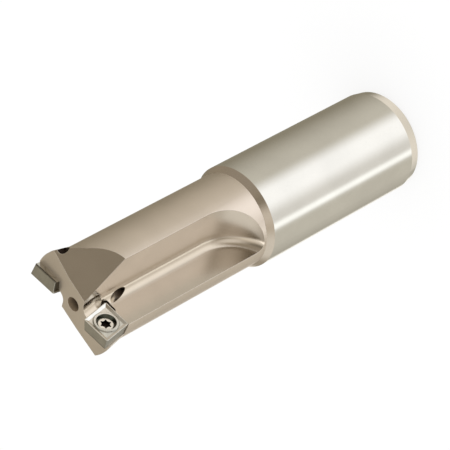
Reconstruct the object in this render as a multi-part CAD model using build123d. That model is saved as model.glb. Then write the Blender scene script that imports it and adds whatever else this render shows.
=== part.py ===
from build123d import *
import os
from math import cos, radians, sin, sqrt, tan

# An indexable counterbore for right-hand cutting, standing on the rear face of its shank. Lengths
# are in millimetres and angles in degrees. The tool axis is Z, the rear face is at Z = 0 and the
# cutting end is at the top. X points outward through the first insert, and Y is the way that its
# cutting edge travels. The second side is the first one turned half a turn about the tool axis.
SIDES = 2

# Turned body
overall_length = 130.0
cutting_diameter = 32.0
shank_diameter = 32.0
shank_length = 64.0
shank_lead_length = 3.8
shank_lead_depth = 0.6
rear_edge_chamfer = 0.5
shoulder_length = 2.0
neck_diameter = 29.3
nose_diameter = 31.7
nose_land_length = 1.3
nose_taper_length = 5.9
nose_edge_chamfer = 0.25
insert_overhang = 1.8

# Coolant passages
supply_bore_diameter = 8.0
supply_bore_depth = 96.0
front_bore_diameter = 4.4
drill_point_angle = 118.0
centre_mouth_diameter = 11.0
centre_mouth_angle = 60.0
coolant_hole_diameter = 2.3
coolant_hole_angle = 25.0
coolant_mouth_setback = 13.8
coolant_mouth_inset = 1.05
coolant_mouth_height = 0.8

# Insert: rhombic, 80 degrees, with clearance on all four flanks
inscribed_circle = 9.525
corner_angle = 80.0
insert_thickness = 3.97
nose_radius = 0.4
clearance_angle = 7.0
rake_tilt = 2.0
dish_angle = 0.5
edge_land = 0.2
chip_groove_depth = 0.32
chip_groove_slope = 21.0
insert_boss_diameter = 7.5
insert_boss_draft = 30.0
insert_hole_diameter = 4.4
countersink_diameter = 5.9
countersink_angle = 60.0

# Clamping screw: M3.5 with a six-lobe socket, size 15
thread_diameter = 3.5
thread_clearance = 0.02
screw_length = 9.3
head_diameter = 4.6
head_recess = 0.95
head_edge_radius = 0.12
socket_diameter = 3.35
socket_waist = 2.4
socket_flute_radius = 0.9
socket_tip_radius = 0.08
socket_depth = 1.0
thread_end_chamfer = 0.4

# Chip flute
flute_wall_offset = 3.8
flute_floor_drop = 0.1
flute_corner_radius = 3.0
flute_runout_radius = 18.5
flute_end_gap = 0.6

# Pocket of the insert
corner_relief_radius = 1.45
corner_relief_setback = 1.25
corner_relief_run = 2.0
corner_relief_depth = 0.3
side_relief_radius = 2.9
side_relief_shift = 0.6
side_relief_height = 1.9
side_relief_length = 6.0

# Faces that relieve the front end
strip_half_width = 5.4
facet_direction = 65.0
facet_angle = 55.0
seat_relief_angle = 4.0
seat_relief_direction = -51.0
seat_relief_start = 7.6

# Sizes that follow from the ones above
shank_radius = shank_diameter / 2
neck_radius = neck_diameter / 2
nose_body_radius = nose_diameter / 2
front_face = overall_length - insert_overhang
head_length = overall_length - shank_length - shoulder_length
reach = shank_diameter + cutting_diameter
half_corner = corner_angle / 2
insert_inradius = inscribed_circle / 2
insert_edge = inscribed_circle / sin(radians(corner_angle))
diagonal_direction = 180 - half_corner - dish_angle
centre_to_corner = insert_inradius / sin(radians(half_corner))
nose_centre_setback = nose_radius / sin(radians(half_corner))
corner_outward = nose_radius + nose_centre_setback * cos(radians(diagonal_direction))
corner_forward = nose_centre_setback * sin(radians(diagonal_direction)) - nose_radius
corner_position = cutting_diameter / 2 - corner_outward
rake_plane_height = corner_position * sin(radians(rake_tilt))
seat_height = -insert_thickness

# The rake plane carries everything that is milled on one side. Its X runs outward from the tool
# axis along the rake face, its Y runs from the cutting corner towards the shank, and its Z stands
# on the rake face, on the chip side.
rake_normal = Vector(sin(radians(rake_tilt)), cos(radians(rake_tilt)), 0)
rake_plane = Plane(
    origin=rake_normal * rake_plane_height + Vector(0, 0, overall_length + corner_forward),
    x_dir=(cos(radians(rake_tilt)), -sin(radians(rake_tilt)), 0),
    z_dir=rake_normal,
)
corner_outward_on_rake = corner_position * cos(radians(rake_tilt))

# The insert stands in the rake plane with X along its long diagonal, towards the cutting corner.
insert_place = Location(
    (
        corner_outward_on_rake + centre_to_corner * cos(radians(diagonal_direction)),
        centre_to_corner * sin(radians(diagonal_direction)),
        0,
    ),
    (0, 0, diagonal_direction + 180),
)


def rhombus(inradius, height, corner_radius=0.0):
    """The insert's outline at a height, for the radius of the circle that fits inside it."""
    half_long = inradius / sin(radians(half_corner))
    half_short = inradius / cos(radians(half_corner))
    outline = Polygon(
        (half_long, 0), (0, half_short), (-half_long, 0), (0, -half_short), align=None
    )
    if corner_radius > 0:
        outline = fillet(outline.vertices(), corner_radius)
    return Pos(0, 0, height) * outline


def flank_inset(height):
    """How far the flanks have moved outward at a height above the rake face."""
    return height * tan(radians(clearance_angle))


def frustum(bottom_radius, top_radius, bottom, top):
    """A cone or cylinder about Z between two heights."""
    profile = Polygon((0, bottom), (bottom_radius, bottom), (top_radius, top), (0, top), align=None)
    return revolve(Plane.XZ * profile, Axis.Z)


def turned_blank():
    """Shank, shoulder, neck and the slightly larger nose, turned in one piece."""
    nose_start = front_face - nose_land_length - nose_taper_length
    lead_radius = shank_radius - shank_lead_depth
    profile = Polygon(
        (0, 0),
        (lead_radius - rear_edge_chamfer, 0),
        (lead_radius, rear_edge_chamfer),
        (shank_radius, shank_lead_length),
        (shank_radius, shank_length),
        (neck_radius, shank_length + shoulder_length),
        (neck_radius, nose_start),
        (nose_body_radius, nose_start + nose_taper_length),
        (nose_body_radius, front_face - nose_edge_chamfer),
        (nose_body_radius - nose_edge_chamfer, front_face),
        (0, front_face),
        align=None,
    )
    return revolve(Plane.XZ * profile, Axis.Z)


def axial_bores():
    """Coolant supply from the rear, its drill point, and the narrower bore to the front face."""
    supply_radius = supply_bore_diameter / 2
    point_length = supply_radius / tan(radians(drill_point_angle / 2))
    mouth_radius = centre_mouth_diameter / 2
    mouth_depth = (mouth_radius - supply_radius) / tan(radians(centre_mouth_angle / 2))
    supply = frustum(supply_radius, supply_radius, 0, supply_bore_depth)
    point = frustum(supply_radius, 0, supply_bore_depth, supply_bore_depth + point_length)
    mouth = frustum(mouth_radius, supply_radius, 0, mouth_depth)
    front_radius = front_bore_diameter / 2
    front = frustum(front_radius, front_radius, supply_bore_depth, overall_length)
    return supply + point + mouth + front


def flute_cutter():
    """A flat floor and an upright wall with a round corner; the wall bends out at the shoulder."""
    wall = flute_wall_offset
    bend = flute_runout_radius
    bend_rise = sqrt(bend**2 - (bend - (neck_radius - wall)) ** 2)
    straight = head_length - flute_end_gap - bend_rise
    start = -overall_length / 4
    outline = make_face(
        [
            Line((wall, start), (wall, straight)),
            CenterArc((wall + bend, straight), bend, 90, 90),
            Line((wall + bend, straight + bend), (wall + bend, start)),
            Line((wall + bend, start), (wall, start)),
        ]
    )
    block = extrude(Pos(0, 0, -flute_floor_drop) * outline, amount=reach)
    floor_edges = block.faces().sort_by(Axis.Z)[0].edges()
    wall_edges = [edge for edge in floor_edges if edge.geom_type == GeomType.CIRCLE]
    wall_edges += floor_edges.filter_by(GeomType.LINE).filter_by(Axis.Y).sort_by(Axis.X)[:1]
    return fillet(wall_edges, flute_corner_radius)


def pocket_cutter():
    """Seat and two walls that follow the insert's inner flanks, open at the front and outside."""
    levels = []
    for height in (seat_height, insert_thickness):
        inradius = insert_inradius + flank_inset(height)
        inner_corner = -inradius / sin(radians(half_corner))
        large = 3 * insert_inradius
        shift = inner_corner + large / sin(radians(half_corner))
        levels.append(Pos(shift, 0, 0) * rhombus(large, height))
    walls = loft(levels, ruled=True)
    relief_centre = -centre_to_corner + corner_relief_setback
    outline = SlotCenterToCenter(corner_relief_run, 2 * corner_relief_radius)
    slot = extrude(Pos(corner_relief_run / 2, 0) * outline, amount=2 * insert_thickness)
    relief = Pos(relief_centre, 0, seat_height - corner_relief_depth) * Rot(0, 0, half_corner) * slot
    return insert_place * (walls + relief)


def side_relief_cutter():
    """The round-ended groove that a small mill leaves beside the insert's inner edge."""
    edge_direction = radians(diagonal_direction - half_corner)
    inner_edge = corner_outward_on_rake - insert_edge + side_relief_shift
    end = Vector(
        inner_edge + side_relief_length * cos(edge_direction) / sin(edge_direction),
        side_relief_length,
        side_relief_height,
    )
    forward = Vector(-cos(edge_direction), -sin(edge_direction), 0)
    groove = Plane(origin=end, z_dir=forward) * extrude(
        Circle(side_relief_radius), amount=overall_length / 8
    )
    return groove + Pos(*end) * Sphere(side_relief_radius)


def coolant_cutter():
    """The slanted hole from the front bore, which opens in the round corner of the flute."""
    mouth = Vector(
        flute_wall_offset + coolant_mouth_inset, coolant_mouth_setback, coolant_mouth_height
    )
    axis_run = mouth.X / tan(radians(coolant_hole_angle))
    source = Vector(0, coolant_mouth_setback + axis_run, -rake_plane_height)
    outward = (mouth - source).normalized()
    length = (mouth - source).length + insert_edge
    return Plane(origin=source, z_dir=outward) * extrude(
        Circle(coolant_hole_diameter / 2), amount=length
    )


def screw_hole_cutter():
    """The tapped hole under the seat, drilled through to the outside of the body."""
    radius = thread_diameter / 2 + thread_clearance
    return insert_place * frustum(radius, radius, -reach / 2, seat_height + corner_relief_depth)


def facet_cutter():
    """The steep facet on the trailing side of the other tooth, which ends at this flute."""
    direction = radians(facet_direction)
    across = Vector(cos(direction), sin(direction), 0)
    angle = radians(facet_angle)
    normal = across * sin(angle) + Vector(0, 0, cos(angle))
    origin = across * strip_half_width + Vector(0, 0, front_face)
    block = Box(2 * reach, 2 * reach, reach, align=(Align.CENTER, Align.CENTER, Align.MIN))
    return Plane(origin=origin, z_dir=normal) * block


def seat_relief_cutter():
    """The shallow face below the insert, tilted back from a crease beside the centre."""
    direction = radians(seat_relief_direction)
    across = Vector(cos(direction), sin(direction), 0)
    angle = radians(seat_relief_angle)
    normal = across * sin(angle) + Vector(0, 0, cos(angle))
    origin = across * seat_relief_start + Vector(0, 0, front_face)
    block = Box(reach, reach, reach / 2, align=(Align.CENTER, Align.CENTER, Align.MIN))
    return Plane(origin=origin, z_dir=normal) * block


def chip_side():
    """Everything above the rake plane, where the facet may cut."""
    block = Box(2 * reach, 4 * overall_length, reach, align=(Align.CENTER, Align.CENTER, Align.MIN))
    return rake_plane.location * block


def both_sides(shape):
    """The shape on each side of the tool."""
    return [Rot(0, 0, side * 360 / SIDES) * shape for side in range(SIDES)]


def body():
    milled = flute_cutter() + side_relief_cutter()
    cutters = [
        rake_plane.location * milled,
        rake_plane.location * pocket_cutter(),
        rake_plane.location * coolant_cutter(),
        rake_plane.location * screw_hole_cutter(),
        facet_cutter() & chip_side(),
        seat_relief_cutter(),
    ]
    solid = turned_blank() - axial_bores()
    for cutter in cutters:
        for placed in both_sides(cutter):
            solid = solid - placed
    return solid


def insert():
    """Carbide insert with a chip groove round a central boss and a countersunk hole."""
    bottom_inradius = insert_inradius + flank_inset(seat_height)
    blank = loft(
        [
            rhombus(bottom_inradius, seat_height, nose_radius),
            rhombus(insert_inradius, 0, nose_radius),
        ],
        ruled=True,
    )
    groove_run = chip_groove_depth / tan(radians(chip_groove_slope))
    groove = loft(
        [
            rhombus(insert_inradius - edge_land - groove_run, -chip_groove_depth),
            rhombus(insert_inradius - edge_land, 0),
        ],
        ruled=True,
    )
    boss_radius = insert_boss_diameter / 2
    boss_top = boss_radius - chip_groove_depth * tan(radians(insert_boss_draft))
    boss = frustum(boss_radius, boss_top, -chip_groove_depth, 0)
    hole_radius = insert_hole_diameter / 2
    sink_radius = countersink_diameter / 2
    sink_depth = (sink_radius - hole_radius) / tan(radians(countersink_angle / 2))
    hole = frustum(hole_radius, hole_radius, seat_height, 0)
    sink = frustum(hole_radius, sink_radius, -sink_depth, 0)
    return insert_place * (blank - (groove - boss) - hole - sink)


def socket():
    """Six-lobe socket: a circle with six round flutes taken out of it."""
    outline = Circle(socket_diameter / 2)
    flute_distance = socket_waist / 2 + socket_flute_radius
    outline -= PolarLocations(flute_distance, 6, start_angle=30) * Circle(socket_flute_radius)
    outline = fillet(outline.vertices(), socket_tip_radius)
    return Pos(0, 0, -head_recess - socket_depth) * extrude(outline, amount=2 * socket_depth)


def screw():
    """Countersunk clamping screw whose cone sits in the insert's countersink."""
    half_angle = tan(radians(countersink_angle / 2))
    head_radius = head_diameter / 2
    thread_radius = thread_diameter / 2
    head_top = -head_recess
    cone_top = -(countersink_diameter / 2 - head_radius) / half_angle
    cone_bottom = cone_top - (head_radius - thread_radius) / half_angle
    tip = head_top - screw_length
    profile = Polygon(
        (0, head_top),
        (head_radius - head_edge_radius, head_top),
        (head_radius, head_top - head_edge_radius),
        (head_radius, cone_top),
        (thread_radius, cone_bottom),
        (thread_radius, tip + thread_end_chamfer),
        (thread_radius - thread_end_chamfer, tip),
        (0, tip),
        align=None,
    )
    return insert_place * (revolve(Plane.XZ * profile, Axis.Z) - socket())


inserts = both_sides(rake_plane.location * insert())
screws = both_sides(rake_plane.location * screw())
pieces = {
    "tool_body": body(),
    "insert_1": inserts[0],
    "insert_2": inserts[1],
    "clamp_screws": Compound(screws),
}

os.makedirs("parts", exist_ok=True)
for name, piece in pieces.items():
    export_step(piece, f"parts/{name}.step")
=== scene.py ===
"""An indexable counterbore: a ground shank, a turned neck and nose with two milled chip flutes, and two
carbide inserts, each held by a countersunk screw. Lengths are in metres and angles in degrees."""
from math import cos, radians, sin

import bpy
from mathutils import Matrix, Vector

# Sizes that the finishes need, as the CAD model has them.
SHANK_LENGTH = 0.0640
BORE_RADIUS = 0.0040
COUNTERSINK_RADIUS = 0.00295
BOSS_TOP_RADIUS = 0.00357
BOSS_RADIUS = 0.00375
HEAD_RECESS = 0.00095
SOCKET_RADIUS = 0.00168
COOLANT_HOLE_RADIUS = 0.00115
RELIEF_RADIUS = 0.00145

# Lines on the first side, each a point and a direction: the clamping screw's axis from the insert's top,
# the coolant hole's axis from the front bore, and the axis of the relief in the pocket's inner corner.
SCREW_AXIS = ((0.01044, 0.00020, 0.12519), (0.0349, 0.9994, 0.0))
COOLANT_HOLE_AXIS = ((0.0, 0.0, 0.1058), (0.4235, 0.1031, 0.9000))
RELIEF_AXIS = ((0.00576, 0.00036, 0.12119), (0.0349, 0.9994, 0.0))

# Camera: where it looks, from how far, and how it is turned.
LOOK_AT = (0.00057, -0.00038, 0.06882)
CAMERA_DISTANCE = 0.7184
CAMERA_AZIMUTH = 56.40
CAMERA_ELEVATION = 36.97
CAMERA_ROLL = -118.38
CAMERA_LENS = 197.16

# Colours of the nickel plating, the carbide and the screws, among them painted shade and painted
# highlights.
GROUND_NICKEL = (0.650, 0.620, 0.550)
TURNED_NICKEL = (0.680, 0.590, 0.490)
MILLED_NICKEL = (0.605, 0.538, 0.452)
# Painted shade that dims and warms the reflected highlight in the flutes' fillets.
CORNER_PAINTED_SHADE = (0.955, 0.920, 0.850)
# The bores' duller drilled finish in a brown that is partly painted shade, and darker painted shade further
# in.
BORE_BROWN_AND_SHADE = (0.340, 0.255, 0.165)
DEEP_PAINTED_SHADE = (0.105, 0.072, 0.045)
# A painted highlight along the broken edges.
EDGE_PAINTED_HIGHLIGHT = (0.800, 0.760, 0.690)
# The inserts' ground top and sintered flanks, whose lightness and darkness are partly painted light and
# shade.
GROUND_TOP_AND_PAINTED_LIGHT = (0.762, 0.744, 0.686)
SINTERED_AND_PAINTED_SHADE = (0.360, 0.345, 0.295)
# Painted shade in the inserts' holes.
HOLE_PAINTED_SHADE = (0.075, 0.078, 0.060)
# Painted shade along the inserts' inner flanks and at their seats.
SEAT_AND_FLANK_PAINTED_SHADE = (0.085, 0.075, 0.055)
SCREW_STEEL = (0.960, 0.920, 0.830)
# Painted shade in the screws' sockets.
SOCKET_PAINTED_SHADE = (0.035, 0.024, 0.019)

# Where the tool body's finishes and its painted shade begin and are full. Turned faces look outward from
# the tool's axis, the bores look inward, and the end faces look along the axis. The coolant hole and the
# relief are measured from their own lines.
TURNED_OUTWARD = (0.93, 0.985)
TURNED_RADII = (0.0128, 0.0135)
GROUND_HEIGHTS = (SHANK_LENGTH + 0.0004, SHANK_LENGTH - 0.0001)
END_FACE_UPRIGHT = (0.97, 0.995)
BORE_INWARD = (-0.90, -0.99)
BORE_RADII = (BORE_RADIUS * 1.15, BORE_RADIUS * 1.08)
# Heights over which painted shade darkens the front bore further in.
BORE_SHADE_HEIGHTS = (0.1276, 0.1240)
HOLE_RADII = (COOLANT_HOLE_RADIUS * 1.06, COOLANT_HOLE_RADIUS * 1.02)
HOLE_LENGTHS = (0.0128, 0.0100)
RELIEF_RADII = (RELIEF_RADIUS * 1.12, RELIEF_RADIUS * 1.06)
RELIEF_MOUTH = (-0.0002, -0.0006)
RELIEF_FLOOR = (-0.0050, -0.0046)
# How slanted a face is where the fillets' painted shade begins and is full.
CORNER_SHADE_SLANT = (0.10, 0.45)

# Where the inserts' finishes and their painted shade begin and are full. The flank's top and the seat edge
# are heights from the insert's top along the screw's axis.
TOP_UPWARD = (0.55, 0.80)
HOLE_WALL_UPWARD = (0.95, 0.85)
INSERT_HOLE_RADII = (COUNTERSINK_RADIUS * 1.03, COUNTERSINK_RADIUS * 0.99)
BOSS_FOOT_INSIDE = (BOSS_TOP_RADIUS, BOSS_RADIUS)
BOSS_FOOT_OUTSIDE = (BOSS_RADIUS + 0.00030, BOSS_RADIUS + 0.00005)
BOSS_FOOT_SHADE = 0.65
FLANK_INWARD = (-0.3, -0.6)
FLANK_TOP = (-0.0004, -0.0008)
SEAT_EDGE = (-0.0036, -0.0039)
SEAT_EDGE_FRONT = (0.12905, 0.12920)

# Where painted shade darkens the screws' sockets.
SOCKET_DEPTHS = (-HEAD_RECESS - 0.00001, -HEAD_RECESS - 0.00006)
SOCKET_RADII = (SOCKET_RADIUS * 1.04, SOCKET_RADIUS * 1.01)

# How far soft clouds and fine speckle change a colour.
NICKEL_CLOUDS = (0.965, 1.02)
NICKEL_SPECKLE = (0.985, 1.01)
CARBIDE_CLOUDS = (0.92, 1.05)
CARBIDE_SPECKLE = (0.93, 1.04)
SCREW_CLOUDS = (0.90, 1.06)

# Roughness. A pair is what the speckle spreads it between, and the smear is a share of the nickel's own.
MILLED_ROUGHNESS = 0.22
TURNED_ROUGHNESS = 0.36
GROUND_ROUGHNESS = 0.15
END_FACE_ROUGHNESS = 0.40
BORE_ROUGHNESS = 0.60
NICKEL_SMEAR = (0.94, 1.08)
CARBIDE_ROUGHNESS = (0.15, 0.23)
SCREW_ROUGHNESS = (0.22, 0.32)
SOCKET_ROUGHNESS = 0.6
BORE_DULLNESS = 0.8

# Broken edges: the radius, and how much of the painted edge highlight shows. The likeness of the rounded
# normal to the face's own tells where an edge begins and is full.
NICKEL_EDGE = (0.00015, 0.35)
CARBIDE_EDGE = (0.00012, 0.8)
SCREW_EDGE = (0.00010, 0.6)
EDGE_LIKENESS = (0.995, 0.90)

# Depths of the tool marks and the grain.
TURNED_RING_DEPTH = 0.0000015
FACED_RING_DEPTH = 0.0000025
MILLED_LINE_DEPTH = 0.0000009
CARBIDE_LINE_DEPTH = 0.0000014
CARBIDE_GRAIN_DEPTH = 0.0000010
SCREW_RING_DEPTH = 0.0000016

# A milling cutter's arcs: how fast they bend away, and how far from the tool's axis their middle lies.
ARC_BEND = 22.0
ARC_MIDDLE = 0.0075

# The share of the finer lines in the tool marks, and the levels that noise mostly lies between.
FINE_LINE_SHARE = 0.45
NOISE_LEVELS = (0.32, 0.68)

# The studio that the metal reflects. Panels below the horizon, where the upright tool's walls reflect them,
# are (azimuth, half width, soft edge, colour), and the room's colour fills in between.
ROOM = (0.755, 0.735, 0.680)
LOW_PANELS = (
    (215.0, 58.0, 50.0, (0.320, 0.292, 0.225)),
    (17.0, 28.0, 12.0, (0.980, 0.980, 0.990)),
    (60.0, 27.5, 17.0, (1.460, 1.500, 1.600)),
    (-4.0, 6.5, 4.5, (1.640, 1.700, 1.780)),
    (250.0, 9.0, 6.0, (1.150, 1.120, 1.050)),
)
# Cards above the horizon are (azimuth, elevation, half angle, soft edge, colour).
HIGH_ROOM = (0.430, 0.390, 0.335)
HIGH_CARDS = (
    (-6.0, 46.0, 22.0, 20.0, (1.120, 1.075, 1.000)),
    (30.0, 12.0, 20.0, 12.0, (1.060, 1.060, 1.080)),
    (60.0, 42.0, 13.0, 5.0, (0.255, 0.235, 0.195)),
    (242.0, 32.0, 26.0, 12.0, (0.590, 0.545, 0.455)),
    (-42.0, 13.0, 32.0, 14.0, (0.980, 0.970, 0.940)),
    (0.0, 90.0, 24.0, 14.0, (1.050, 1.050, 1.050)),
)
# Far below, a pale ring lies round a patch of the room's colour. Levels are the height of a direction, from
# -1 straight down to 1 straight up.
UNDERNEATH = (1.120, 1.060, 0.990)
UNDERNEATH_LEVELS = (-0.74, -0.84)
STRAIGHT_DOWN_LEVELS = (-0.87, -0.92)
HORIZON_LEVELS = (-0.42, -0.02)
BACKGROUND_WHITE = (1.04, 1.04, 1.04)

# The floor: half its side, how far it lies below the tool, its colour and how much of it glows.
FLOOR_HALF = 4.0
FLOOR_DROP = 0.0002
FLOOR_WHITE = (0.97, 0.97, 0.97)
FLOOR_GLOW = 0.80


def rgba(colour):
    return (*colour, 1.0)


def connect(tree, value, socket):
    """Links an output to the socket, or sets the socket to a plain value."""
    if isinstance(value, bpy.types.NodeSocket):
        tree.links.new(value, socket)
    else:
        socket.default_value = value


def new_node(tree, kind, inputs=None, **settings):
    """A shader node with its settings made, and its inputs linked or given a value."""
    node = tree.nodes.new("ShaderNode" + kind)
    for name, value in settings.items():
        setattr(node, name, value)
    for name, value in (inputs or {}).items():
        connect(tree, value, node.inputs[name])
    return node


def calculate(tree, operation, *values):
    """One Math node's output."""
    node = new_node(tree, "Math", operation=operation)
    for i, value in enumerate(values):
        connect(tree, value, node.inputs[i])
    return node.outputs[0]


def product(tree, first, *others):
    """All the values multiplied."""
    for other in others:
        first = calculate(tree, "MULTIPLY", first, other)
    return first


def highest(tree, first, *others):
    """The largest of the values."""
    for other in others:
        first = calculate(tree, "MAXIMUM", first, other)
    return first


def one_minus(tree, value):
    return calculate(tree, "SUBTRACT", 1.0, value)


def size_of(tree, value):
    return calculate(tree, "ABSOLUTE", value)


def ramp_between(tree, value, low, high):
    """A smooth step from 0 at one level to 1 at the other."""
    node = new_node(tree, "MapRange", {"Value": value, "From Min": low, "From Max": high},
                    interpolation_type="SMOOTHSTEP")
    return node.outputs["Result"]


def spread(tree, value, low, high):
    """A value from 0 to 1, spread evenly between two others."""
    return new_node(tree, "MapRange", {"Value": value, "To Min": low, "To Max": high}).outputs["Result"]


def vector_part(tree, operation, output, *values):
    """One output of a vector calculation."""
    node = new_node(tree, "VectorMath", operation=operation)
    for i, value in enumerate(values):
        connect(tree, value, node.inputs[i])
    return node.outputs[output]


def blend_values(tree, factor, first, second):
    """Mixes two numbers, each an output or plain."""
    node = new_node(tree, "Mix", data_type="FLOAT")
    connect(tree, factor, node.inputs[0])
    connect(tree, first, node.inputs[2])
    connect(tree, second, node.inputs[3])
    return node.outputs[0]


def blend_colours(tree, factor, first, second, blend="MIX"):
    """Mixes two colours, each an output or plain."""
    node = new_node(tree, "Mix", data_type="RGBA", blend_type=blend, clamp_factor=True)
    connect(tree, factor, node.inputs[0])
    for colour, socket in ((first, node.inputs[6]), (second, node.inputs[7])):
        connect(tree, colour if isinstance(colour, bpy.types.NodeSocket) else rgba(colour), socket)
    return node.outputs[2]


def shade_colour(tree, colour, level):
    """The colour multiplied by a level."""
    tone = new_node(tree, "CombineColor", {"Red": level, "Green": level, "Blue": level})
    return blend_colours(tree, 1.0, colour, tone.outputs["Color"], blend="MULTIPLY")


def bump(tree, height, depth, normal):
    """The normal with a height's marks in it."""
    node = new_node(tree, "Bump", {"Height": height, "Distance": depth, "Strength": 1.0, "Normal": normal})
    return node.outputs["Normal"]


def new_group(name, inputs, outputs):
    """A shader node group with its sockets, and its input and output nodes."""
    group = bpy.data.node_groups.new(name, "ShaderNodeTree")
    for way, sockets in (("INPUT", inputs), ("OUTPUT", outputs)):
        for label, kind, default in sockets:
            socket = group.interface.new_socket(
                name=label, in_out=way, socket_type="NodeSocket" + kind)
            if default is not None:
                socket.default_value = default
    return group, group.nodes.new("NodeGroupInput"), group.nodes.new("NodeGroupOutput")


def place_group(tree, group, **values):
    """The group placed in a tree, with the given values on the inputs of those names."""
    node = tree.nodes.new("ShaderNodeGroup")
    node.node_tree = group
    for label, value in values.items():
        connect(tree, value, node.inputs[label.replace("_", " ").capitalize()])
    return node


def make_tool_lines():
    """Fine parallel lines that a wheel or a cutting edge leaves, along the given distance."""
    group, given, made = new_group(
        "tool_lines",
        [("Distance", "Float", 0.0), ("Vector", "Vector", None), ("Spacing", "Float", 0.0003),
         ("Wander", "Float", 0.4)],
        [("Height", "Float", None)])
    wander = new_node(group, "TexNoise", {"Vector": given.outputs["Vector"], "Scale": 90.0, "Detail": 2.0})
    steps = calculate(group, "DIVIDE", given.outputs["Distance"], given.outputs["Spacing"])
    shift = product(group, wander.outputs["Fac"], given.outputs["Wander"])
    place = calculate(group, "ADD", steps, shift)
    coarse = new_node(group, "TexNoise", {"W": place, "Scale": 0.45, "Detail": 1.0}, noise_dimensions="1D")
    fine = new_node(group, "TexNoise", {"W": place, "Scale": 1.7, "Detail": 2.0}, noise_dimensions="1D")
    height = blend_values(group, FINE_LINE_SHARE, coarse.outputs["Fac"], fine.outputs["Fac"])
    connect(group, height, made.inputs["Height"])
    return group


def make_metal_grain():
    """Fine speckle and wide soft clouds in a metal surface, each from 0 to 1."""
    group, given, made = new_group(
        "metal_grain",
        [("Vector", "Vector", None), ("Speckle size", "Float", 0.0004), ("Cloud size", "Float", 0.012)],
        [("Speckle", "Float", None), ("Clouds", "Float", None)])
    fineness = calculate(group, "DIVIDE", 1.0, given.outputs["Speckle size"])
    speckle = new_node(group, "TexNoise", {
        "Vector": given.outputs["Vector"], "Scale": fineness, "Detail": 3.0, "Roughness": 0.6})
    softness = calculate(group, "DIVIDE", 1.0, given.outputs["Cloud size"])
    clouds = new_node(group, "TexNoise", {
        "Vector": given.outputs["Vector"], "Scale": softness, "Detail": 2.0, "Distortion": 0.3})
    connect(group, ramp_between(group, speckle.outputs["Fac"], *NOISE_LEVELS), made.inputs["Speckle"])
    connect(group, ramp_between(group, clouds.outputs["Fac"], *NOISE_LEVELS), made.inputs["Clouds"])
    return group


def make_broken_edge():
    """The normal of edges that are broken by a small radius, and a mask that is 1 along them."""
    group, given, made = new_group(
        "broken_edge", [("Radius", "Float", 0.0002)], [("Normal", "Vector", None), ("Edge", "Float", None)])
    rounded = new_node(group, "Bevel", {"Radius": given.outputs["Radius"]}, samples=6)
    surface = new_node(group, "NewGeometry")
    likeness = vector_part(
        group, "DOT_PRODUCT", "Value", rounded.outputs["Normal"], surface.outputs["Normal"])
    connect(group, rounded.outputs["Normal"], made.inputs["Normal"])
    connect(group, ramp_between(group, likeness, *EDGE_LIKENESS), made.inputs["Edge"])
    return group


def new_material(name):
    """An empty node material, its tree and its Principled BSDF."""
    material = bpy.data.materials.new(name)
    material.use_nodes = True
    tree = material.node_tree
    return material, tree, tree.nodes["Principled BSDF"]


def place_axes(tree):
    """The object position and its parts, the normal's parts, and the distance from the tool's axis.

    outward says how far a face looks away from the axis: 1 on a turned face and -1 in a bore."""
    place = new_node(tree, "TexCoord")
    parts = new_node(tree, "SeparateXYZ", {"Vector": place.outputs["Object"]})
    facing = new_node(tree, "SeparateXYZ", {"Vector": place.outputs["Normal"]})
    x, y, z = (parts.outputs[i] for i in range(3))
    normal_x, normal_y, normal_z = (facing.outputs[i] for i in range(3))
    radius = calculate(tree, "SQRT", calculate(tree, "ADD", product(tree, x, x), product(tree, y, y)))
    away = calculate(tree, "ADD", product(tree, x, normal_x), product(tree, y, normal_y))
    outward = calculate(tree, "DIVIDE", away, highest(tree, radius, 0.0001))
    return {"position": place.outputs["Object"], "x": x, "y": y, "z": z, "radius": radius,
            "outward": outward, "normal_x": normal_x, "normal_y": normal_y, "normal_z": normal_z}


def fold_sides(tree, at):
    """The position with the second side turned half a turn onto the first, and which side a point is on."""
    side = calculate(tree, "SIGN", at["x"])
    folded = new_node(tree, "CombineXYZ", {
        "X": product(tree, at["x"], side), "Y": product(tree, at["y"], side), "Z": at["z"]})
    return folded.outputs["Vector"], side


def measure_line(tree, position, line):
    """How far a position is along a straight line, and how far aside of it."""
    start, way = line
    offset = vector_part(tree, "SUBTRACT", "Vector", position, start)
    along = vector_part(tree, "DOT_PRODUCT", "Value", offset, way)
    turned = vector_part(tree, "CROSS_PRODUCT", "Vector", offset, way)
    return along, vector_part(tree, "LENGTH", "Value", turned)


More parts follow.
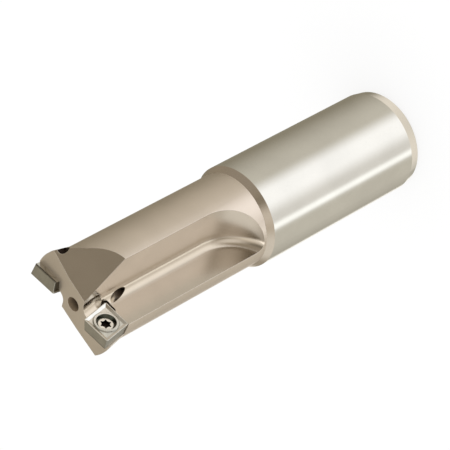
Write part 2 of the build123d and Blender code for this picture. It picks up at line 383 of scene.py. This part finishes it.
def nickel_masks(tree, at):
    """Where each finish of the tool body and its painted shade lies, from 0 to 1."""
    turned = product(tree, ramp_between(tree, at["outward"], *TURNED_OUTWARD),
                     ramp_between(tree, at["radius"], *TURNED_RADII))
    ground = product(tree, turned, ramp_between(tree, at["z"], *GROUND_HEIGHTS))
    end_face = ramp_between(tree, size_of(tree, at["normal_z"]), *END_FACE_UPRIGHT)
    slanted = size_of(tree, product(tree, at["normal_x"], at["normal_y"]))
    # Painted shade in the flutes' fillets, away from the turned faces.
    corner = product(tree, ramp_between(tree, slanted, *CORNER_SHADE_SLANT), one_minus(tree, turned))

    # The bores, the coolant hole and the relief get a brown that is partly painted shade.
    bore = product(tree, ramp_between(tree, at["outward"], *BORE_INWARD),
                   ramp_between(tree, at["radius"], *BORE_RADII))
    folded = fold_sides(tree, at)[0]
    up_hole, from_hole = measure_line(tree, folded, COOLANT_HOLE_AXIS)
    hole = product(tree, ramp_between(tree, from_hole, *HOLE_RADII),
                   ramp_between(tree, up_hole, *HOLE_LENGTHS))
    from_top, from_relief = measure_line(tree, folded, RELIEF_AXIS)
    relief = product(tree, ramp_between(tree, from_top, *RELIEF_MOUTH),
                     ramp_between(tree, from_top, *RELIEF_FLOOR),
                     ramp_between(tree, from_relief, *RELIEF_RADII))
    # Painted shade, darker in the coolant hole and further into the front bore.
    deep_bore_shade = product(tree, bore, ramp_between(tree, at["z"], *BORE_SHADE_HEIGHTS))
    return {"turned": turned, "ground": ground, "end_face": end_face, "corner": corner,
            "in_bore": highest(tree, bore, hole, relief), "deep_shade": highest(tree, hole, deep_bore_shade)}


def nickel_colour(tree, masks, marks, edge):
    """Cooler where ground, warmer where turned or milled, brown with painted shade in the bores, painted
    shade in the fillets and painted highlights on the edges.
    """
    level = product(tree, spread(tree, marks.outputs["Clouds"], *NICKEL_CLOUDS),
                    spread(tree, marks.outputs["Speckle"], *NICKEL_SPECKLE))
    colour = blend_colours(tree, masks["turned"], MILLED_NICKEL, TURNED_NICKEL)
    colour = blend_colours(tree, masks["ground"], colour, GROUND_NICKEL)
    colour = shade_colour(tree, colour, level)
    # Painted shade in the flutes' fillets.
    colour = blend_colours(tree, masks["corner"], colour, CORNER_PAINTED_SHADE, blend="MULTIPLY")
    # A painted highlight along the edges.
    colour = blend_colours(tree, edge, colour, EDGE_PAINTED_HIGHLIGHT)
    # A brown in the bores that is partly painted shade, and darker painted shade further in.
    colour = blend_colours(tree, masks["in_bore"], colour, BORE_BROWN_AND_SHADE)
    return blend_colours(tree, masks["deep_shade"], colour, DEEP_PAINTED_SHADE)


def nickel_roughness(tree, masks, marks):
    """Finest where it was ground, and each finish a little uneven."""
    rough = blend_values(tree, masks["turned"], MILLED_ROUGHNESS, TURNED_ROUGHNESS)
    rough = blend_values(tree, masks["ground"], rough, GROUND_ROUGHNESS)
    rough = blend_values(tree, masks["end_face"], rough, END_FACE_ROUGHNESS)
    rough = blend_values(tree, masks["in_bore"], rough, BORE_ROUGHNESS)
    return product(tree, rough, spread(tree, marks.outputs["Speckle"], *NICKEL_SMEAR))


def nickel_normal(tree, at, masks, lines, rounded):
    """Rings round the turned faces and on the end faces, and a cutter's arcs on the milled ones."""
    along = place_group(tree, lines, distance=at["z"], vector=at["position"], spacing=0.00035, wander=0.5)
    rings = place_group(tree, lines, distance=at["radius"], vector=at["position"], spacing=0.0003,
                        wander=0.3)
    off_middle = calculate(tree, "SUBTRACT", size_of(tree, at["x"]), ARC_MIDDLE)
    across = calculate(tree, "ADD", at["z"], product(tree, off_middle, off_middle, ARC_BEND))
    swept = place_group(tree, lines, distance=across, vector=at["position"], spacing=0.0007, wander=0.0)
    milled = one_minus(tree, highest(tree, masks["turned"], masks["end_face"]))
    normal = bump(tree, product(tree, along.outputs["Height"], masks["turned"]), TURNED_RING_DEPTH, rounded)
    normal = bump(tree, product(tree, rings.outputs["Height"], masks["end_face"]), FACED_RING_DEPTH, normal)
    return bump(tree, product(tree, swept.outputs["Height"], milled), MILLED_LINE_DEPTH, normal)


def nickel_body(lines, grain, edges):
    """Nickel-plated steel, in the finishes of its ground, turned and milled faces and its bores, with
    painted shade in the bores and fillets and painted highlights on the edges.
    """
    material, tree, surface = new_material("nickel_plating_and_painted_light")
    at = place_axes(tree)
    masks = nickel_masks(tree, at)
    edge_radius, highlight_share = NICKEL_EDGE
    marks = place_group(tree, grain, vector=at["position"], speckle_size=0.0005, cloud_size=0.014)
    rim = place_group(tree, edges, radius=edge_radius)
    # How much painted highlight shows along the edges.
    edge = product(tree, rim.outputs["Edge"], highlight_share)
    connect(tree, nickel_colour(tree, masks, marks, edge), surface.inputs["Base Color"])
    connect(tree, nickel_roughness(tree, masks, marks), surface.inputs["Roughness"])
    dull = product(tree, masks["in_bore"], BORE_DULLNESS)
    connect(tree, one_minus(tree, dull), surface.inputs["Metallic"])
    normal = nickel_normal(tree, at, masks, lines, rim.outputs["Normal"])
    connect(tree, normal, surface.inputs["Normal"])
    return material


def carbide_masks(tree, at):
    """Where the inserts' finishes and their painted shade lie, from 0 to 1."""
    folded, side = fold_sides(tree, at)
    height, reach = measure_line(tree, folded, SCREW_AXIS)
    upward = size_of(tree, at["normal_y"])
    top = ramp_between(tree, upward, *TOP_UPWARD)
    # Painted shade on the hole's wall.
    hole_shade = product(tree, ramp_between(tree, upward, *HOLE_WALL_UPWARD),
                      ramp_between(tree, reach, *INSERT_HOLE_RADII))
    # Painted shade round the foot of the boss.
    boss_foot_shade = product(tree, ramp_between(tree, reach, *BOSS_FOOT_INSIDE),
                        ramp_between(tree, reach, *BOSS_FOOT_OUTSIDE), top)
    # Painted shade on the inner flank and at the front of the seat.
    inward = ramp_between(tree, product(tree, at["normal_x"], side), *FLANK_INWARD)
    inner_flank = product(tree, inward, ramp_between(tree, height, *FLANK_TOP))
    seat_edge = product(tree, ramp_between(tree, height, *SEAT_EDGE),
                        ramp_between(tree, at["z"], *SEAT_EDGE_FRONT))
    return {"top": top, "hole_shade": hole_shade, "boss_foot_shade": boss_foot_shade,
            "shadowed": highest(tree, inner_flank, seat_edge)}


def carbide_colour(tree, masks, marks, edge):
    """Light on the ground top and darker on the sintered flanks, partly painted light and shade, with
    painted shade round the boss, on the inner flank and seat, darkest in the hole, and painted edge
    highlights.
    """
    level = product(tree, spread(tree, marks.outputs["Clouds"], *CARBIDE_CLOUDS),
                    spread(tree, marks.outputs["Speckle"], *CARBIDE_SPECKLE))
    # A light top and darker flanks, partly painted light and shade.
    colour = blend_colours(tree, masks["top"], SINTERED_AND_PAINTED_SHADE, GROUND_TOP_AND_PAINTED_LIGHT)
    # Painted shade round the foot of the boss.
    boss_foot_shade = product(tree, masks["boss_foot_shade"], BOSS_FOOT_SHADE)
    colour = blend_colours(tree, boss_foot_shade, colour, SINTERED_AND_PAINTED_SHADE)
    # Painted shade in the hole.
    colour = blend_colours(tree, masks["hole_shade"], colour, HOLE_PAINTED_SHADE)
    # Painted shade on the inner flank and at the seat.
    colour = blend_colours(tree, masks["shadowed"], colour, SEAT_AND_FLANK_PAINTED_SHADE)
    colour = shade_colour(tree, colour, level)
    # A painted highlight along the edges.
    return blend_colours(tree, edge, colour, EDGE_PAINTED_HIGHLIGHT)


def insert_carbide(lines, grain, edges):
    """Cemented carbide: a light ground top and darker sintered flanks, partly painted light and shade, with
    painted shade in its hollows and painted highlights on its edges.
    """
    material, tree, surface = new_material("carbide_and_painted_light")
    at = place_axes(tree)
    edge_radius, highlight_share = CARBIDE_EDGE
    marks = place_group(tree, grain, vector=at["position"], speckle_size=0.00016, cloud_size=0.003)
    rim = place_group(tree, edges, radius=edge_radius)
    along = place_group(tree, lines, distance=at["z"], vector=at["position"], spacing=0.00018, wander=0.4)
    # How much painted highlight shows along the edges.
    edge = product(tree, rim.outputs["Edge"], highlight_share)
    colour = carbide_colour(tree, carbide_masks(tree, at), marks, edge)
    connect(tree, colour, surface.inputs["Base Color"])
    rough = spread(tree, marks.outputs["Speckle"], *CARBIDE_ROUGHNESS)
    connect(tree, rough, surface.inputs["Roughness"])
    surface.inputs["Metallic"].default_value = 1.0
    normal = bump(tree, along.outputs["Height"], CARBIDE_LINE_DEPTH, rim.outputs["Normal"])
    normal = bump(tree, marks.outputs["Speckle"], CARBIDE_GRAIN_DEPTH, normal)
    connect(tree, normal, surface.inputs["Normal"])
    return material


def screw_steel(lines, grain, edges):
    """Clamping screw steel: a turned head with painted highlights on its edges, and painted shade in the
    socket below its mouth.
    """
    material, tree, surface = new_material("screw_steel_and_painted_light")
    at = place_axes(tree)
    height, reach = measure_line(tree, fold_sides(tree, at)[0], SCREW_AXIS)
    # The socket below its mouth: rougher, and darkened with painted shade.
    in_socket = product(tree, ramp_between(tree, height, *SOCKET_DEPTHS),
                        ramp_between(tree, reach, *SOCKET_RADII))
    edge_radius, highlight_share = SCREW_EDGE
    marks = place_group(tree, grain, vector=at["position"], speckle_size=0.00014, cloud_size=0.002)
    rim = place_group(tree, edges, radius=edge_radius)
    rings = place_group(tree, lines, distance=reach, vector=at["position"], spacing=0.00014, wander=0.2)

    colour = shade_colour(tree, SCREW_STEEL, spread(tree, marks.outputs["Clouds"], *SCREW_CLOUDS))
    # A painted highlight along the edges.
    colour = blend_colours(tree, product(tree, rim.outputs["Edge"], highlight_share), colour, EDGE_PAINTED_HIGHLIGHT)
    # Painted shade in the socket.
    colour = blend_colours(tree, in_socket, colour, SOCKET_PAINTED_SHADE)
    connect(tree, colour, surface.inputs["Base Color"])
    rough = spread(tree, marks.outputs["Speckle"], *SCREW_ROUGHNESS)
    rough = highest(tree, rough, product(tree, in_socket, SOCKET_ROUGHNESS))
    connect(tree, rough, surface.inputs["Roughness"])
    surface.inputs["Metallic"].default_value = 1.0
    normal = bump(tree, rings.outputs["Height"], SCREW_RING_DEPTH, rim.outputs["Normal"])
    connect(tree, normal, surface.inputs["Normal"])
    return material


def direction(azimuth, elevation):
    """The unit vector that points that way."""
    a = radians(azimuth)
    e = radians(elevation)
    return cos(a) * cos(e), sin(a) * cos(e), sin(e)


def light_patch(tree, vector, target, half, edge, base, colour):
    """The base colour with a soft-edged patch of another, round the target direction."""
    closeness = vector_part(tree, "DOT_PRODUCT", "Value", vector, target)
    off = calculate(tree, "DEGREES", calculate(tree, "ARCCOSINE", closeness))
    return blend_colours(tree, ramp_between(tree, off, half + edge, half - edge), base, colour)


def light_studio():
    """The world: the studio to glossy rays, and plain white to camera, diffuse and transmission rays."""
    world = bpy.data.worlds.new("studio")
    bpy.context.scene.world = world
    world.use_nodes = True
    tree = world.node_tree
    way = new_node(tree, "TexCoord").outputs["Generated"]
    parts = new_node(tree, "SeparateXYZ", {"Vector": way})
    height = parts.outputs[2]
    flat = new_node(tree, "CombineXYZ", {"X": parts.outputs[0], "Y": parts.outputs[1]})
    level = vector_part(tree, "NORMALIZE", "Vector", flat.outputs["Vector"])
    low = ROOM
    for azimuth, half, edge, colour in LOW_PANELS:
        low = light_patch(tree, level, direction(azimuth, 0), half, edge, low, colour)
    high = HIGH_ROOM
    for azimuth, elevation, half, edge, colour in HIGH_CARDS:
        high = light_patch(tree, way, direction(azimuth, elevation), half, edge, high, colour)
    low = blend_colours(tree, ramp_between(tree, height, *UNDERNEATH_LEVELS), low, UNDERNEATH)
    low = blend_colours(tree, ramp_between(tree, height, *STRAIGHT_DOWN_LEVELS), low, ROOM)
    studio = blend_colours(tree, ramp_between(tree, height, *HORIZON_LEVELS), low, high)
    path = new_node(tree, "LightPath")
    plain = highest(tree, path.outputs["Is Camera Ray"], path.outputs["Is Diffuse Ray"],
                    path.outputs["Is Transmission Ray"])
    shown = blend_colours(tree, plain, studio, BACKGROUND_WHITE)
    connect(tree, shown, tree.nodes["Background"].inputs["Color"])
    world.cycles.sampling_method = "NONE"


def floor_white():
    """White that glows to camera, glossy and transmission rays, keeps a shadow, and is clear from below."""
    material = bpy.data.materials.new("floor_white")
    material.use_nodes = True
    tree = material.node_tree
    tree.nodes.clear()
    cloth = new_node(tree, "BsdfDiffuse", {"Color": rgba(FLOOR_WHITE)})
    glow = new_node(tree, "Emission", {"Color": (1.0, 1.0, 1.0, 1.0), "Strength": 1.0})
    path = new_node(tree, "LightPath")
    seen = highest(tree, path.outputs["Is Camera Ray"], path.outputs["Is Glossy Ray"],
                   path.outputs["Is Transmission Ray"])
    above = new_node(tree, "MixShader", {
        0: product(tree, seen, FLOOR_GLOW), 1: cloth.outputs[0], 2: glow.outputs[0]})
    clear = new_node(tree, "BsdfTransparent")
    facing = new_node(tree, "NewGeometry")
    both = new_node(tree, "MixShader", {
        0: facing.outputs["Backfacing"], 1: above.outputs[0], 2: clear.outputs[0]})
    output = new_node(tree, "OutputMaterial", {"Surface": both.outputs[0]})
    output.is_active_output = True
    return material


def lay_floor():
    """The floor. It is hidden from glossy rays, so the metal reflects the studio and not the floor."""
    corners = [(x * FLOOR_HALF, y * FLOOR_HALF, 0) for x, y in ((-1, -1), (1, -1), (1, 1), (-1, 1))]
    mesh = bpy.data.meshes.new("floor")
    mesh.from_pydata(corners, [], [(0, 1, 2, 3)])
    mesh.transform(Matrix.Translation((0, 0, -FLOOR_DROP)))
    mesh.materials.append(floor_white())
    floor = bpy.data.objects.new("floor", mesh)
    bpy.context.scene.collection.objects.link(floor)
    floor.visible_glossy = False


def hang_lamp(name, azimuth, elevation, distance, size, power):
    """A soft square lamp that looks at the middle of the tool."""
    lamp = bpy.data.lights.new(name, "AREA")
    lamp.shape = "SQUARE"
    lamp.size = size
    lamp.energy = power
    holder = bpy.data.objects.new(name, lamp)
    way = Vector(direction(azimuth, elevation))
    holder.location = Vector(LOOK_AT) + way * distance
    holder.rotation_euler = way.to_track_quat("Z", "Y").to_euler()
    bpy.context.scene.collection.objects.link(holder)


def set_camera():
    """The photograph's viewpoint, with the tool's cutting end towards the lower left."""
    data = bpy.data.cameras.new("camera")
    data.lens = CAMERA_LENS
    data.sensor_width = 36.0
    data.clip_start = 0.01
    data.clip_end = 20.0
    back = Vector(direction(CAMERA_AZIMUTH, CAMERA_ELEVATION))
    level_up = (Vector((0, 0, 1)) - back * back.z).normalized()
    level_right = level_up.cross(back)
    turn = radians(CAMERA_ROLL)
    up = level_up * cos(turn) - level_right * sin(turn)
    right = up.cross(back)
    place = Vector(LOOK_AT) + back * CAMERA_DISTANCE
    camera = bpy.data.objects.new("camera", data)
    camera.matrix_world = Matrix((
        (right.x, up.x, back.x, place.x), (right.y, up.y, back.y, place.y),
        (right.z, up.z, back.z, place.z), (0, 0, 0, 1)))
    bpy.context.scene.collection.objects.link(camera)
    bpy.context.scene.camera = camera


def finish_pieces(frame):
    """Gives each CAD node its finish, with painted shade and painted highlights."""
    kit = (make_tool_lines(), make_metal_grain(), make_broken_edge())
    carbide = insert_carbide(*kit)
    finishes = {"tool_body": nickel_body(*kit), "insert_1": carbide, "insert_2": carbide,
                "clamp_screws": screw_steel(*kit)}
    for name, material in finishes.items():
        for place in frame["nodes"][name].material_slots:
            place.material = material


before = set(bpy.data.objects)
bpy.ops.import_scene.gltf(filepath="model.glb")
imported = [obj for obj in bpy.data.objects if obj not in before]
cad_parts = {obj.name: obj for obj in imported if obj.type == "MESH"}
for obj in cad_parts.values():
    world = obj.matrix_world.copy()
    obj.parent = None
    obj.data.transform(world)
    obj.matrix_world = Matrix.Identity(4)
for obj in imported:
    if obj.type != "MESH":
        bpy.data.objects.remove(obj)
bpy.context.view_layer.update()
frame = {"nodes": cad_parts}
bpy.context.scene.view_settings.view_transform = "Standard"
finish_pieces(frame)
light_studio()
lay_floor()
hang_lamp("soft_top_lamp", azimuth=-60, elevation=72, distance=1.1, size=0.7, power=1.6)
set_camera()
